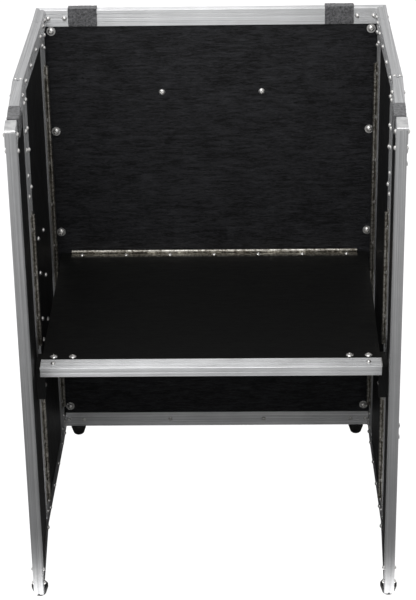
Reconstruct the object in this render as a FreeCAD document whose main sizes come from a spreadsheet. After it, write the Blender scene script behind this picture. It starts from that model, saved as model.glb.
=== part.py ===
"""Fold-out equipment stand in flight-case construction.

A back panel with two shallow returns carries, on each side, a wall of two hinged sections, and
between the walls a shelf that folds up against the back. The panels are black ply held in
aluminium channel extrusions. The returns, the side sections and the shelf turn on piano hinges.

The frame: origin on the floor in the middle of the stand, +X to the right, +Y towards the back,
+Z up. Lengths that are drawn count y from the back's rear face, forward being negative, and each
sub-part's Placement moves them to the origin.
"""
import FreeCAD, Part

import operator
import os

import Sketcher
from FreeCAD import Placement, Rotation, Vector

PARTS_FOLDER = "parts"
os.makedirs("parts", exist_ok=True)
doc = FreeCAD.newDocument("fold_out_equipment_stand")

# ---------------------------------------------------------------- driving dimensions (mm, degrees)

DRIVING = {
    "overall_width": 546.0,
    "overall_height": 762.0,
    "origin_depth": 258.7,
    "foot_height": 17.0,
    "wall": 15.0,
    "skin": 1.5,
    "flange": 26.0,
    "groove_width": 1.7,
    "groove_depth": 0.8,
    "web_groove_width": 3.0,
    "edge_chamfer": 0.8,
    "fit_gap": 0.05,
    "seam_gap": 0.8,
    "return_depth": 66.5,
    "rear_side_length": 254.0,
    "front_side_length": 196.7,
    "rear_splay_deg": 1.0,
    "left_toe_deg": 2.8,
    "right_toe_deg": 2.0,
    "shelf_top": 346.5,
    "shelf_front": 416.0,
    "shelf_width": 503.0,
    "shelf_flange": 27.5,
    "bracket_thickness": 3.0,
    "cleat_thickness": 11.0,
    "barrel_radius": 3.0,
    "barrel_lift": 0.3,
    "leaf_thickness": 1.2,
    "leaf_width": 14.0,
    "pin_radius": 1.2,
    "running_fit": 0.05,
    "knuckle_gap": 0.4,
    "rivet_radius": 3.6,
    "rivet_height": 3.0,
    "small_rivet_radius": 2.2,
    "small_rivet_height": 1.3,
    "screw_radius": 3.6,
    "screw_height": 1.6,
    "truss_radius": 5.6,
    "truss_height": 2.2,
    "bolt_radius": 5.0,
    "bolt_height": 3.4,
    "washer_radius": 7.0,
    "washer_thickness": 1.2,
    "foot_top_radius": 12.5,
    "foot_bottom_radius": 9.0,
    "pad_width": 46.0,
    "pad_thickness": 4.0,
    "cap_length": 40.0,
    "cap_thickness": 1.2,
    "plate_thickness": 1.2,
    "latch_shaft_radius": 3.0,
    "latch_disc_radius": 7.0,
    "latch_tongue_length": 22.0,
    "wing_half_height": 14.0,
    "wing_reach": 12.0,
    "handle_width": 88.0,
    "handle_height": 184.0,
    "bail_rod_radius": 3.5,
    "bail_half_length": 50.0,
    "bail_reach": 46.0,
    "bail_bend_radius": 12.0,
    "bail_pivot_radius": 2.5,
}

sheet = doc.addObject("Spreadsheet::Sheet", "Sizes")
for row, (alias, number) in enumerate(DRIVING.items(), start=1):
    sheet.set(f"A{row}", alias)
    sheet.set(f"B{row}", str(number))
    sheet.setAlias(f"B{row}", alias)
doc.recompute()


class Dim:
    """A length that keeps its formula in the sheet's names together with its present value."""

    def __init__(self, formula, value):
        self.formula = formula
        self.value = value

    def __add__(self, other):
        return combine(self, "+", other)

    def __radd__(self, other):
        return combine(other, "+", self)

    def __sub__(self, other):
        return combine(self, "-", other)

    def __rsub__(self, other):
        return combine(other, "-", self)

    def __mul__(self, other):
        return combine(self, "*", other)

    def __rmul__(self, other):
        return combine(other, "*", self)

    def __truediv__(self, other):
        return combine(self, "/", other)

    def __neg__(self):
        return combine(0, "-", self)


ARITHMETIC = {"+": operator.add, "-": operator.sub, "*": operator.mul, "/": operator.truediv}


def as_dim(quantity):
    """A plain number as a Dim, so that it can take part in a formula."""
    if isinstance(quantity, Dim):
        return quantity
    return Dim(f"({float(quantity)})", float(quantity))


def combine(first, sign, second):
    first, second = as_dim(first), as_dim(second)
    value = ARITHMETIC[sign](first.value, second.value)
    return Dim(f"({first.formula} {sign} {second.formula})", value)


def size(alias):
    """The sheet's cell of this alias."""
    return Dim(f"Sizes.{alias}", float(sheet.get(alias)))


def ordered(pair):
    """The two ends of a span, the lower one first."""
    return sorted((as_dim(end) for end in pair), key=lambda end: end.value)


# ---------------------------------------------------------------- lengths worked out from them

HALF_WIDTH = size("overall_width") / 2
TOP = size("overall_height")
FOOT = size("foot_height")
WALL = size("wall")
SKIN = size("skin")
FLANGE = size("flange")
FIT = size("fit_gap")
INNER_FACE = HALF_WIDTH - WALL

# y of each seam between wall sections, from the rear face
RETURN_FRONT = -(size("return_depth"))
REAR_SIDE_BACK = RETURN_FRONT - size("seam_gap")
REAR_SIDE_FRONT = REAR_SIDE_BACK - size("rear_side_length")
FRONT_SIDE_BACK = REAR_SIDE_FRONT - size("seam_gap")
FRONT_SIDE_FRONT = FRONT_SIDE_BACK - size("front_side_length")

# hinge axes: the barrel stands on the inner faces, over the seam
BARREL = size("barrel_radius")
BARREL_X = INNER_FACE - BARREL - size("barrel_lift")
REAR_HINGE_Y = RETURN_FRONT - size("seam_gap") / 2
FRONT_HINGE_Y = REAR_SIDE_FRONT - size("seam_gap") / 2

SHELF_RAIL_TOP = size("shelf_top")
SHELF_PLY_TOP = SHELF_RAIL_TOP - SKIN
SHELF_BOTTOM = SHELF_RAIL_TOP - WALL
SHELF_FRONT = -(size("shelf_front"))
SHELF_HALF = size("shelf_width") / 2
BACK_INNER_FACE = -(WALL - SKIN)
SHELF_AXIS_Y = BACK_INNER_FACE - BARREL - size("barrel_lift")
SHELF_AXIS_Z = SHELF_PLY_TOP + BARREL + size("barrel_lift")
SHELF_REAR = SHELF_AXIS_Y + BARREL - size("leaf_thickness") - 0.5
BRACKET_TOP = SHELF_BOTTOM + SKIN
BRACKET_BOTTOM = BRACKET_TOP - size("bracket_thickness")

SIDES = {"left": -1, "right": 1}

# ---------------------------------------------------------------- places of the sections

BASE_PLACE = Placement(Vector(0, size("origin_depth").value, 0), Rotation())


def turned_about(x, y, degrees):
    """A turn about the vertical line through x, y."""
    return Placement(Vector(), Rotation(Vector(0, 0, 1), degrees), Vector(x.value, y.value, 0))


def rear_side_place(side):
    """The rear side section, turned out a little about its hinge."""
    splay = turned_about(BARREL_X * side, REAR_HINGE_Y, side * size("rear_splay_deg").value)
    return BASE_PLACE.multiply(splay)


def front_side_place(side):
    """The front side section, toed in from the rear section that it hangs on.

    The hinges' play lets the right one stand a little wider than the left one.
    """
    toe_in = size("left_toe_deg" if side < 0 else "right_toe_deg").value
    bend = size("rear_splay_deg").value + toe_in
    toe = turned_about(BARREL_X * side, FRONT_HINGE_Y, -side * bend)
    return rear_side_place(side).multiply(toe)


# ---------------------------------------------------------------- drawing and feature helpers

sub_parts = []


def sub_part(feature, label, place=BASE_PLACE):
    """Names a finished piece, puts it in its place and keeps it for the export."""
    feature.Label = label
    feature.Placement = place
    sub_parts.append(feature)
    return feature


def origin_feature(body, role):
    return [feature for feature in body.Origin.OriginFeatures if feature.Role == role][0]


class Circle:
    """A round outline."""

    def __init__(self, across, along, radius):
        self.centre = (as_dim(across), as_dim(along))
        self.radius = as_dim(radius)


def box_outline(across, along):
    """A rectangle between two spans."""
    low_p, high_p = ordered(across)
    low_q, high_q = ordered(along)
    return [(low_p, low_q), (high_p, low_q), (high_p, high_q), (low_p, high_q)]


def add_polygon(sketch, corners):
    """A closed polygon whose every corner is held by two sheet-driven distances."""
    first = sketch.GeometryCount
    count = len(corners)
    points = [Vector(as_dim(p).value, as_dim(q).value, 0) for p, q in corners]
    sketch.addGeometry([Part.LineSegment(points[i], points[(i + 1) % count]) for i in range(count)])
    rules = []
    formulas = []
    for i, corner in enumerate(corners):
        rules.append(Sketcher.Constraint("Coincident", first + i, 2, first + (i + 1) % count, 1))
        formulas.append(None)
        for kind, length in zip(("DistanceX", "DistanceY"), corner):
            length = as_dim(length)
            rules.append(Sketcher.Constraint(kind, -1, 1, first + i, 1, length.value))
            formulas.append(length.formula)
    bind_rules(sketch, rules, formulas)


def add_circle(sketch, circle):
    centre = Vector(circle.centre[0].value, circle.centre[1].value, 0)
    index = sketch.addGeometry(Part.Circle(centre, Vector(0, 0, 1), circle.radius.value))
    rules = [Sketcher.Constraint("Radius", index, circle.radius.value)]
    formulas = [circle.radius.formula]
    for kind, length in zip(("DistanceX", "DistanceY"), circle.centre):
        rules.append(Sketcher.Constraint(kind, -1, 1, index, 3, length.value))
        formulas.append(length.formula)
    bind_rules(sketch, rules, formulas)


def bind_rules(sketch, rules, formulas):
    start = sketch.ConstraintCount
    sketch.addConstraint(rules)
    for offset, formula in enumerate(formulas):
        if formula:
            sketch.setExpression(f"Constraints[{start + offset}]", formula)


def draw(body, plane, outlines, offset):
    """A sketch on one of the body's origin planes, moved along the plane's normal."""
    sketch = body.newObject("Sketcher::SketchObject", f"{body.Name}_outline")
    sketch.AttachmentSupport = [(origin_feature(body, f"{plane}_Plane"), "")]
    sketch.MapMode = "FlatFace"
    sketch.setExpression(".AttachmentOffset.Base.z", offset.formula)
    for outline in outlines:
        if isinstance(outline, Circle):
            add_circle(sketch, outline)
        else:
            add_polygon(sketch, outline)
    return sketch


def pad(body, plane, outlines, reach):
    """Adds material over a span along the plane's axis. The XZ plane's normal points to -Y."""
    low, high = ordered(reach)
    offset = -high if plane == "XZ" else low
    feature = body.newObject("PartDesign::Pad", f"{body.Name}_pad")
    feature.Profile = draw(body, plane, outlines, offset)
    feature.setExpression("Length", (high - low).formula)
    return feature


def pocket(body, plane, outlines, reach):
    """Takes material away over a span. A pocket runs against its sketch's normal."""
    low, high = ordered(reach)
    offset = -low if plane == "XZ" else high
    feature = body.newObject("PartDesign::Pocket", f"{body.Name}_pocket")
    feature.Profile = draw(body, plane, outlines, offset)
    feature.setExpression("Length", (high - low).formula)
    return feature


def prism(name, plane, outlines, reach):
    body = doc.addObject("PartDesign::Body", name)
    pad(body, plane, outlines, reach)
    return body


def block(name, x_span, y_span, z_span):
    """A square-edged block."""
    return prism(name, "XY", [box_outline(x_span, y_span)], z_span)


def lathe(name, profile):
    """A body turned about Z from its half outline in the XZ plane."""
    body = doc.addObject("PartDesign::Body", name)
    sketch = draw(body, "XZ", [profile], as_dim(0))
    turn = body.newObject("PartDesign::Revolution", f"{name}_turn")
    turn.Profile = sketch
    turn.ReferenceAxis = (sketch, ["V_Axis"])
    turn.Angle = 360
    return body


def group(name, pieces):
    """Separate solids that share one node."""
    together = doc.addObject("Part::Compound", name)
    together.Links = pieces
    return together


# ---------------------------------------------------------------- channel extrusion

def channel_cuts(place, flange):
    """What is taken out of a solid bar to leave the ribbed channel.

    place(across, depth) gives the drawing point for a distance across the wall's thickness, from
    its outer face, and a depth in from the channel's back.
    """
    groove = size("groove_depth")
    half = size("groove_width") / 2
    web_half = size("web_groove_width") / 2
    cuts = [
        rectangle((SKIN, WALL - SKIN), (SKIN, flange + 1)),
        rectangle((WALL / 2 - web_half, WALL / 2 + web_half), (-1, groove))]
    for share in (1, 2, 3):
        middle = flange * share / 4
        along = (middle - half, middle + half)
        cuts.append(rectangle((-1, groove), along))
        cuts.append(rectangle((WALL - groove, WALL + 1), along))
    chamfer = size("edge_chamfer") + 1
    cuts.append([(-1, -1), (chamfer, -1), (-1, chamfer)])
    cuts.append([(WALL + 1, -1), (WALL + 1, chamfer), (WALL - chamfer, -1)])
    return [[place(as_dim(a), as_dim(d)) for a, d in corners] for corners in cuts]


def rectangle(across, depth):
    """The corners of a rectangle, in order."""
    return [(across[0], depth[0]), (across[1], depth[0]), (across[1], depth[1]), (across[0], depth[1])]


def channel_rail(name, cut_plane, outline, thickness, section_plane, place, run, flange=FLANGE):
    """One length of channel: its mitred outline, thickened, with the channel cut along its run."""
    body = prism(name, cut_plane, [outline], thickness)
    low, high = ordered(run)
    pocket(body, section_plane, channel_cuts(place, flange), (low - 1, high + 1))
    return body


def wall_frame(name, side, back, front):
    """Four mitred channels round a side section: top, bottom, rear and front."""
    outer = HALF_WIDTH * side
    thickness = (outer, INNER_FACE * side)
    back_in, front_in = back - FLANGE, front + FLANGE
    heights = (FOOT, TOP)
    top = channel_rail(
        f"{name}_top", "YZ",
        [(back, TOP), (front, TOP), (front_in, TOP - FLANGE), (back_in, TOP - FLANGE)],
        thickness, "XZ", lambda a, d: (outer - a * side, TOP - d), (front, back))
    bottom = channel_rail(
        f"{name}_bottom", "YZ",
        [(back, FOOT), (front, FOOT), (front_in, FOOT + FLANGE), (back_in, FOOT + FLANGE)],
        thickness, "XZ", lambda a, d: (outer - a * side, FOOT + d), (front, back))
    rear = channel_rail(
        f"{name}_rear", "YZ",
        [(back, FOOT), (back, TOP), (back_in, TOP - FLANGE), (back_in, FOOT + FLANGE)],
        thickness, "XY", lambda a, d: (outer - a * side, back - d), heights)
    lead = channel_rail(
        f"{name}_front", "YZ",
        [(front, FOOT), (front, TOP), (front_in, TOP - FLANGE), (front_in, FOOT + FLANGE)],
        thickness, "XY", lambda a, d: (outer - a * side, front + d), heights)
    return group(name, [top, bottom, rear, lead])


def panel_span_x(side):
    return ((HALF_WIDTH - SKIN - FIT) * side, (HALF_WIDTH - WALL + SKIN + FIT) * side)


PANEL_HEIGHTS = (FOOT + SKIN + FIT, TOP - SKIN - FIT)

# ---------------------------------------------------------------- fasteners

def dome_master(name, radius, height):
    """A spherical cap standing on its seat, for the head of a rivet or a screw."""
    ball = doc.addObject("Part::Sphere", name)
    full = (radius * radius + height * height) / (height * 2)
    ball.setExpression("Radius", full.formula)
    ball.setExpression("Angle1", f"asin(({full.formula} - {height.formula}) / {full.formula})")
    ball.setExpression("Placement.Base.z", (height - full).formula)
    return ball


def cross_recess_master(name, head, radius, height):
    """The same head with a cross cut in its top for a driver."""
    arms = []
    for turn, (length, width) in enumerate(((1.1, 0.24), (0.24, 1.1))):
        arm = doc.addObject("Part::Box", f"{name}_arm_{turn}")
        arm.setExpression("Length", (radius * length).formula)
        arm.setExpression("Width", (radius * width).formula)
        arm.setExpression("Height", height.formula)
        arm.setExpression("Placement.Base.x", (-(radius * length / 2)).formula)
        arm.setExpression("Placement.Base.y", (-(radius * width / 2)).formula)
        arm.setExpression("Placement.Base.z", (height * 0.45).formula)
        arms.append(arm)
    cross = doc.addObject("Part::MultiFuse", f"{name}_cross")
    cross.Shapes = arms
    head_cut = doc.addObject("Part::Cut", name)
    head_cut.Base = head
    head_cut.Tool = cross
    return head_cut


RIVET = dome_master("rivet_head", size("rivet_radius"), size("rivet_height"))
SMALL_RIVET = dome_master("small_rivet_head", size("small_rivet_radius"), size("small_rivet_height"))
SCREW = cross_recess_master(
    "screw_head", dome_master("screw_dome", size("screw_radius"), size("screw_height")),
    size("screw_radius"), size("screw_height"))
TRUSS = cross_recess_master(
    "truss_head", dome_master("truss_dome", size("truss_radius"), size("truss_height")),
    size("truss_radius"), size("truss_height"))
BOLT = cross_recess_master(
    "bolt_head", dome_master("bolt_dome", size("bolt_radius"), size("bolt_height")),
    size("bolt_radius"), size("bolt_height"))
WASHER = doc.addObject("Part::Cylinder", "washer")
WASHER.setExpression("Radius", size("washer_radius").formula)
WASHER.setExpression("Height", size("washer_thickness").formula)
doc.recompute()


def seats(master, places):
    """Copies of one fastener, each standing on a point and facing along a direction."""
    copies = []
    for point, facing in places:
        spot = Vector(*(as_dim(value).value for value in point))
        turn = Placement(spot, Rotation(Vector(0, 0, 1), Vector(*facing)))
        copy = master.Shape.copy()
        copy.Placement = turn.multiply(copy.Placement)
        copies.append(copy)
    return copies


def fasteners(label, heads, place=BASE_PLACE):
    """One node of separate fastener heads."""
    feature = doc.addObject("Part::Feature", label)
    feature.Shape = Part.makeCompound(heads)
    return sub_part(feature, label, place)


def through_seats(side, spots, outer_lift=0):
    """Both ends of rivets through a side wall's channel, at y, z: on the inner and the outer face."""
    inner = [((INNER_FACE * side, y, z), (-side, 0, 0)) for y, z in spots]
    outer = [(((HALF_WIDTH + outer_lift) * side, y, z), (side, 0, 0)) for y, z in spots]
    return inner + outer


def both_ends(spots):
    """The spots near a wall's top, and the same ones near its bottom."""
    return spots + [(y, (FOOT + TOP).value - z) for y, z in spots]


def spread(low, high, count):
    """Evenly spaced values, ends included."""
    low, high = as_dim(low).value, as_dim(high).value
    return [low + (high - low) * i / (count - 1) for i in range(count)]


# ---------------------------------------------------------------- piano hinges

def hinge_leaf(name, plane, axis_name, centre, plate, tongue, sweep, run, knuckles, first_gap):
    """One leaf with its share of the knuckles.

    plate, tongue and sweep are outlines in the plane square to the axis: the leaf's flat, the
    strip that joins it to the barrel, and the room that the other leaf's knuckles need.
    """
    body = prism(name, plane, [plate], run)
    pad(body, plane, [tongue], run)
    pad(body, plane, [Circle(*centre, BARREL)], run)
    low, high = ordered(run)
    bore = size("pin_radius") + size("running_fit")
    pocket(body, plane, [Circle(*centre, bore)], (low - 1, high + 1))
    pitch = (high - low) / knuckles
    half_gap = size("knuckle_gap") / 2
    start = low + pitch * first_gap
    gap = pocket(body, plane, [sweep], (start - half_gap, start + pitch + half_gap))
    count = (knuckles - first_gap + 1) // 2
    pattern = body.newObject("PartDesign::LinearPattern", f"{name}_knuckles")
    pattern.Originals = [gap]
    pattern.Direction = (origin_feature(body, axis_name), [""])
    pattern.setExpression("Length", (pitch * (2 * (count - 1))).formula)
    pattern.Occurrences = count
    body.Tip = pattern
    return body


def wall_hinge_leaf(name, side, axis_y, toward, run, knuckles, first_gap):
    """A leaf on the inner face of a wall, reaching forward (-1) or back (+1) from the axis."""
    face = INNER_FACE * side
    leaf_face = (INNER_FACE - size("leaf_thickness")) * side
    root = axis_y + (BARREL + size("knuckle_gap")) * toward
    plate = box_outline((face, leaf_face), (root, axis_y + size("leaf_width") * toward))
    tongue = box_outline((face, leaf_face), (axis_y, root))
    sweep = box_outline(
        ((INNER_FACE + 1) * side, (BARREL_X - BARREL - 1) * side),
        (axis_y - (BARREL + 1) * toward, root))
    centre = (BARREL_X * side, axis_y)
    return hinge_leaf(name, "XY", "Z_Axis", centre, plate, tongue, sweep, run, knuckles, first_gap)


def hinge_pin(name, plane, centre, run):
    low, high = ordered(run)
    return prism(name, plane, [Circle(*centre, size("pin_radius"))], (low + 0.5, high - 0.5))


# ---------------------------------------------------------------- back

def build_back():
    half_ply = INNER_FACE + SKIN - FIT
    panel = block(
        "back_panel", (-half_ply, half_ply), (-(SKIN + FIT), -(WALL - SKIN - FIT)), PANEL_HEIGHTS)
    sub_part(panel, "back_panel")
    plan = [(-HALF_WIDTH, as_dim(0)), (HALF_WIDTH, as_dim(0)), (INNER_FACE, -WALL), (-INNER_FACE, -WALL)]
    run = (-HALF_WIDTH, HALF_WIDTH)
    top = channel_rail(
        "back_top_rail", "XY", plan, (TOP - FLANGE, TOP), "YZ", lambda a, d: (-a, TOP - d), run)
    bottom = channel_rail(
        "back_bottom_rail", "XY", plan, (FOOT, FOOT + FLANGE), "YZ", lambda a, d: (-a, FOOT + d), run)
    sub_part(top, "back_top_rail")
    sub_part(bottom, "back_bottom_rail")
    angles = []
    for name, side in SIDES.items():
        angle = [
            (HALF_WIDTH * side, as_dim(0)), ((HALF_WIDTH - FLANGE) * side, as_dim(0)),
            ((HALF_WIDTH - FLANGE) * side, -SKIN), ((HALF_WIDTH - SKIN) * side, -SKIN),
            ((HALF_WIDTH - SKIN) * side, -FLANGE), (HALF_WIDTH * side, -FLANGE)]
        angles.append(prism(f"{name}_corner_angle", "XY", [angle], (FOOT + FLANGE, TOP - FLANGE)))
    sub_part(group("corner_angles", angles), "corner_angles")


def build_back_fasteners():
    bolt_x, middle_screw_x, middle_screw_z = 250.0, 79.0, 625.0
    heads, washers = [], []
    for height in (728.0, 560.0, 383.0, 56.0):
        for x in (-bolt_x, bolt_x):
            washers.append(((x, BACK_INNER_FACE + FIT, height), (0, -1, 0)))
            front = BACK_INNER_FACE + FIT - size("washer_thickness")
            heads.append(((x, front, height), (0, -1, 0)))
            heads.append(((x, 0, height), (0, 1, 0)))
    for x in (-middle_screw_x, middle_screw_x):
        heads.append(((x, BACK_INNER_FACE + FIT, middle_screw_z), (0, -1, 0)))
        heads.append(((x, -(SKIN + FIT), middle_screw_z), (0, 1, 0)))
    fasteners("back_bolts", seats(BOLT, heads) + seats(WASHER, washers))
    middle_top, middle_bottom = TOP - FLANGE / 2, FOOT + FLANGE / 2
    spots = []
    for x in (-253.5, -228.0, 228.0, 253.5):
        spots.append((x, middle_top))
        spots.append((x, middle_bottom))
    for x in (-80.0, 80.0):
        spots.append((x, middle_bottom))
    inner = [((x, -WALL, z), (0, -1, 0)) for x, z in spots]
    outer = [((x, 0, z), (0, 1, 0)) for x, z in spots]
    for side in SIDES.values():
        for z in spread(FOOT + FLANGE + 35, TOP - FLANGE - 45, 6):
            outer.append((((HALF_WIDTH - FLANGE / 4) * side, 0, z), (0, 1, 0)))
    fasteners("back_rivets", seats(RIVET, inner + outer))


# ---------------------------------------------------------------- returns

def build_return(name, side):
    outer = HALF_WIDTH * side
    panel = block(
        f"{name}_return_panel", panel_span_x(side),
        (-(SKIN + FIT), RETURN_FRONT + SKIN + FIT), PANEL_HEIGHTS)
    sub_part(panel, f"{name}_return_panel")
    plan = [(outer, as_dim(0)), (outer, RETURN_FRONT), (INNER_FACE * side, RETURN_FRONT),
            (INNER_FACE * side, -WALL)]
    run = (RETURN_FRONT, as_dim(0))
    top = channel_rail(
        f"{name}_return_top", "XY", plan, (TOP - FLANGE, TOP), "XZ",
        lambda a, d: (outer - a * side, TOP - d), run)
    bottom = channel_rail(
        f"{name}_return_bottom", "XY", plan, (FOOT, FOOT + FLANGE), "XZ",
        lambda a, d: (outer - a * side, FOOT + d), run)
    heights = (FOOT + FLANGE, TOP - FLANGE)
    edge = box_outline((RETURN_FRONT, RETURN_FRONT + FLANGE), heights)
    stile = channel_rail(
        f"{name}_return_stile", "YZ", edge, (outer, INNER_FACE * side), "XY",
        lambda a, d: (outer - a * side, RETURN_FRONT + d), heights)
    sub_part(group(f"{name}_return_frame", [top, bottom, stile]), f"{name}_return_frame")
    rivets = through_seats(side, both_ends([(-29.0, 751.0), (-57.0, 751.0), (-47.0, 733.0), (-57.0, 716.0)]))
    fasteners(f"{name}_return_rivets", seats(RIVET, rivets))


# ---------------------------------------------------------------- side sections

REAR_HINGE_RUN = (86.0, 689.0)
REAR_HINGE_KNUCKLES = 23
REAR_HINGE_SCREWS = [99.5 + 72.0 * i for i in range(9)]
UPPER_HINGE_RUN = (336.0, 552.0)
LOWER_HINGE_RUN = (62.0, 266.0)
SHORT_HINGE_RUNS = {"upper": UPPER_HINGE_RUN, "lower": LOWER_HINGE_RUN}
SHORT_HINGE_SCREWS = [385.0, 458.0, 531.0, 99.0, 172.0, 245.0]
SHORT_HINGE_KNUCKLES = 9


def leaf_screw_seats(side, axis_y, toward, heights):
    """Screws along the middle of a wall hinge's leaf."""
    middle = axis_y + (BARREL + size("leaf_width")) / 2 * toward
    face = (INNER_FACE - size("leaf_thickness")) * side
    return [((face, middle, z), (-side, 0, 0)) for z in heights]


def build_rear_side(name, side):
    place = rear_side_place(side)
    panel = block(
        f"{name}_rear_side_panel", panel_span_x(side),
        (REAR_SIDE_BACK - SKIN - FIT, REAR_SIDE_FRONT + SKIN + FIT), PANEL_HEIGHTS)
    sub_part(panel, f"{name}_rear_side_panel", place)
    frame = wall_frame(f"{name}_rear_side_frame", side, REAR_SIDE_BACK, REAR_SIDE_FRONT)
    sub_part(frame, f"{name}_rear_side_frame", place)
    fixed = wall_hinge_leaf(
        f"{name}_rear_hinge_fixed_leaf", side, REAR_HINGE_Y, 1, REAR_HINGE_RUN, REAR_HINGE_KNUCKLES, 1)
    sub_part(fixed, f"{name}_rear_hinge_fixed_leaf")
    moving = wall_hinge_leaf(
        f"{name}_rear_hinge_moving_leaf", side, REAR_HINGE_Y, -1, REAR_HINGE_RUN, REAR_HINGE_KNUCKLES, 0)
    sub_part(moving, f"{name}_rear_hinge_moving_leaf", place)
    pin = hinge_pin(f"{name}_rear_hinge_pin", "XY", (BARREL_X * side, REAR_HINGE_Y), REAR_HINGE_RUN)
    sub_part(pin, f"{name}_rear_hinge_pin")
    build_rear_side_fasteners(name, side, place)


def build_rear_side_fasteners(name, side, place):
    near_top = [(-98.0, 748.0), (-82.0, 728.0), (-160.0, 749.0), (-228.0, 749.0), (-294.0, 750.0),
                (-309.0, 727.0)]
    heads = seats(RIVET, through_seats(side, both_ends(near_top) + [(-309.0, 683.0)]))
    heads += seats(SCREW, leaf_screw_seats(side, REAR_HINGE_Y, -1, REAR_HINGE_SCREWS))
    heads += seats(SCREW, leaf_screw_seats(side, FRONT_HINGE_Y, 1, SHORT_HINGE_SCREWS))
    on_web = [((HALF_WIDTH - inset) * side, REAR_SIDE_FRONT + 5, TOP) for inset in (3.6, 11.4)]
    heads += seats(SMALL_RIVET, [(point, (0, 0, 1)) for point in on_web])
    heads += seats(RIVET, through_seats(side, latch_rivets(), size("plate_thickness")))
    if side < 0:
        heads += seats(RIVET, handle_rivet_seats())
    fasteners(f"{name}_rear_side_fasteners", heads, place)


FRONT_FOOT_SETBACK = 29.0


def build_front_side(name, side):
    rear_place, place = rear_side_place(side), front_side_place(side)
    panel = block(
        f"{name}_front_side_panel", panel_span_x(side),
        (FRONT_SIDE_BACK - SKIN - FIT, FRONT_SIDE_FRONT + SKIN + FIT), PANEL_HEIGHTS)
    sub_part(panel, f"{name}_front_side_panel", place)
    frame = wall_frame(f"{name}_front_side_frame", side, FRONT_SIDE_BACK, FRONT_SIDE_FRONT)
    sub_part(frame, f"{name}_front_side_frame", place)
    leaves = {"rear": (1, 1, rear_place), "front": (-1, 0, place)}
    for end, (toward, first_gap, leaf_place) in leaves.items():
        pieces = []
        for level, run in SHORT_HINGE_RUNS.items():
            pieces.append(wall_hinge_leaf(
                f"{name}_front_hinge_{end}_{level}", side, FRONT_HINGE_Y, toward, run,
                SHORT_HINGE_KNUCKLES, first_gap))
        label = f"{name}_front_hinge_{end}_leaves"
        sub_part(group(label, pieces), label, leaf_place)
    axis = (BARREL_X * side, FRONT_HINGE_Y)
    pins = [hinge_pin(f"{name}_front_hinge_{level}_pin", "XY", axis, run)
            for level, run in SHORT_HINGE_RUNS.items()]
    sub_part(group(f"{name}_front_hinge_pins", pins), f"{name}_front_hinge_pins", rear_place)
    build_front_side_fasteners(name, side, place)
    build_corner_cap(name, side, place)
    build_side_pad(name, side, place)
    build_shelf_cleat(name, side, place)
    foot = foot_body(f"{name}_front_foot")
    centre = Vector((HALF_WIDTH - WALL / 2).value * side, FRONT_SIDE_FRONT.value + FRONT_FOOT_SETBACK, 0)
    sub_part(foot, f"{name}_front_foot", place.multiply(Placement(centre, Rotation())))


def build_front_side_fasteners(name, side, place):
    near_top = [(-352.0, 750.0), (-334.0, 731.0)]
    upper_column = [(-334.0, z) for z in (688.0, 659.0, 619.0, 586.0)]
    heads = seats(RIVET, through_seats(side, both_ends(near_top) + upper_column))
    front_spots = both_ends([(FRONT_SIDE_FRONT + 17, 751.0), (FRONT_SIDE_FRONT + 17, 727.0)])
    heads += seats(RIVET, through_seats(side, front_spots[1:]))
    heads += seats(RIVET, through_seats(side, front_spots[:1], size("cap_thickness")))
    heads += seats(SCREW, leaf_screw_seats(side, FRONT_HINGE_Y, -1, SHORT_HINGE_SCREWS))
    cleat_face = (INNER_FACE - size("cleat_thickness")) * side
    heads += seats(SCREW, [((cleat_face, FRONT_SIDE_BACK - 52, z), (-side, 0, 0)) for z in (296.0, 312.0)])
    fasteners(f"{name}_front_side_fasteners", heads, place)


CAP_LEG = 23.0
CAP_LIP = 2.5
CAP_EASE = 1.1


def build_corner_cap(name, side, place):
    """A folded plate over the front top corner: one leg on the top rail, one down the outer face."""
    thick = size("cap_thickness")
    outer, inner = HALF_WIDTH * side, (INNER_FACE + 1) * side
    outer_skin = (HALF_WIDTH + thick) * side
    section = [
        (inner, TOP + thick), (outer_skin, TOP + thick), (outer_skin, TOP - CAP_LEG),
        (outer, TOP - CAP_LEG), (outer, TOP), (inner, TOP)]
    reach = (FRONT_SIDE_FRONT, FRONT_SIDE_FRONT + size("cap_length"))
    cap = prism(f"{name}_corner_cap", "XZ", [section], reach)
    lip_face = FRONT_SIDE_FRONT - thick
    lip = [
        (lip_face, TOP - CAP_LIP), (FRONT_SIDE_FRONT, TOP - CAP_LIP), (FRONT_SIDE_FRONT, TOP + thick),
        (lip_face + CAP_EASE, TOP + thick), (lip_face, TOP + thick - CAP_EASE)]
    pad(cap, "YZ", [lip], (inner, outer_skin))
    sub_part(cap, f"{name}_corner_cap", place)


SIDE_PAD_LENGTH = 50.0


def build_side_pad(name, side, place):
    """A fuzzy pad over the top rail that hangs down the inner flange."""
    thick = size("pad_thickness") * 0.7
    inner = (INNER_FACE - thick) * side
    section = [
        (HALF_WIDTH * side, TOP), (HALF_WIDTH * side, TOP + thick), (inner, TOP + thick),
        (inner, TOP - FLANGE), (INNER_FACE * side, TOP - FLANGE), (INNER_FACE * side, TOP)]
    front = FRONT_SIDE_FRONT + size("cap_length") + 0.5
    reach = (front, front + SIDE_PAD_LENGTH)
    sub_part(prism(f"{name}_side_pad", "XZ", [section], reach), f"{name}_side_pad", place)


CLEAT_LENGTH = 62.0
CLEAT_HEIGHT = 53.0


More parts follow.
